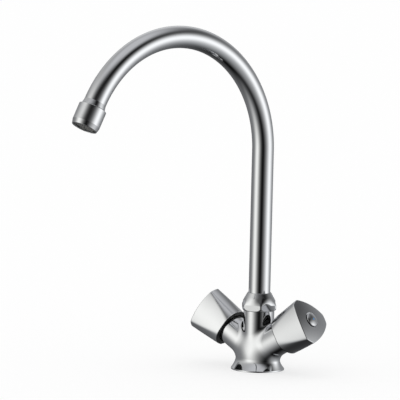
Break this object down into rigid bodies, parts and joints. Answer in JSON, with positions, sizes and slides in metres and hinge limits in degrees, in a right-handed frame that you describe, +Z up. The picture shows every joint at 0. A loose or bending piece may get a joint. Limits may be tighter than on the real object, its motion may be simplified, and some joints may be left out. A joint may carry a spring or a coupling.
{
  "type": "kitchen faucet",
  "caption": "Kitchen mixer tap: cast body with a flared foot, swivelling gooseneck spout with aerator, and a three-sided handle on each raised arm.",
  "frame": {"origin": "centre of the foot's underside, on the worktop", "axes": "+Z up; the two arms lie in the XZ plane, cold on +X and hot on -X; -Y is the front"},
  "size_m": [0.1373, 0.2413, 0.3185],
  "materials": {
    "cast_chrome": "cast brass or zinc, polished and chrome plated",
    "chrome": "turned or drawn brass, polished and chrome plated",
    "brass": "turned, bare",
    "steel": "stainless",
    "black_rubber": "moulded",
    "black_plastic": "moulded",
    "white_acetal": "moulded",
    "grey_acetal": "moulded",
    "fibre": "pressed",
    "alumina": "sintered and lapped",
    "blue_enamel": "gloss",
    "red_enamel": "gloss"
  },
  "bodies": {
    "tap_body": {"body": "cast_chrome", "base_seal": "black_rubber", "spout_nut": "chrome", "cold_headwork": "brass", "cold_head_gasket": "fibre", "cold_seat_seal": "black_rubber", "cold_fixed_disc": "alumina", "hot_headwork": "brass", "hot_head_gasket": "fibre", "hot_seat_seal": "black_rubber", "hot_fixed_disc": "alumina"},
    "spout": {"spout_tail": "brass", "spout_o_rings": "black_rubber", "lower_slip_ring": "white_acetal", "upper_slip_ring": "white_acetal", "spout_tube": "chrome", "spout_end_fitting": "chrome", "aerator_housing": "chrome", "aerator_washer": "black_rubber", "aerator_cartridge": "grey_acetal", "aerator_screen": "steel"},
    "cold_handle": {"cold_turning_disc": "alumina", "cold_spindle": "brass", "cold_spindle_o_rings": "black_rubber", "cold_spindle_circlip": "steel", "cold_friction_washer": "white_acetal", "cold_handle_shell": "cast_chrome", "cold_handle_insert": "black_plastic", "cold_handle_screw": "steel", "cold_index_button": "chrome", "cold_index_dot": "blue_enamel"},
    "hot_handle": {"hot_turning_disc": "alumina", "hot_spindle": "brass", "hot_spindle_o_rings": "black_rubber", "hot_spindle_circlip": "steel", "hot_friction_washer": "white_acetal", "hot_handle_shell": "cast_chrome", "hot_handle_insert": "black_plastic", "hot_handle_screw": "steel", "hot_index_button": "chrome", "hot_index_dot": "red_enamel"}
  },
  "joints": [
    {"name": "spout_swivel", "type": "hinge", "parent": "tap_body", "child": "spout", "pos_m": [0, 0, 0.0619], "axis": [0, 0, 1], "continuous": true},
    {"name": "cold_valve", "type": "hinge", "parent": "tap_body", "child": "cold_handle", "pos_m": [0, 0, 0.0163], "axis": [0.8607, 0, 0.509], "range_deg": [0, 180]},
    {"name": "hot_valve", "type": "hinge", "parent": "tap_body", "child": "hot_handle", "pos_m": [0, 0, 0.0163], "axis": [-0.8607, 0, 0.509], "range_deg": [0, 180]}
  ]
}
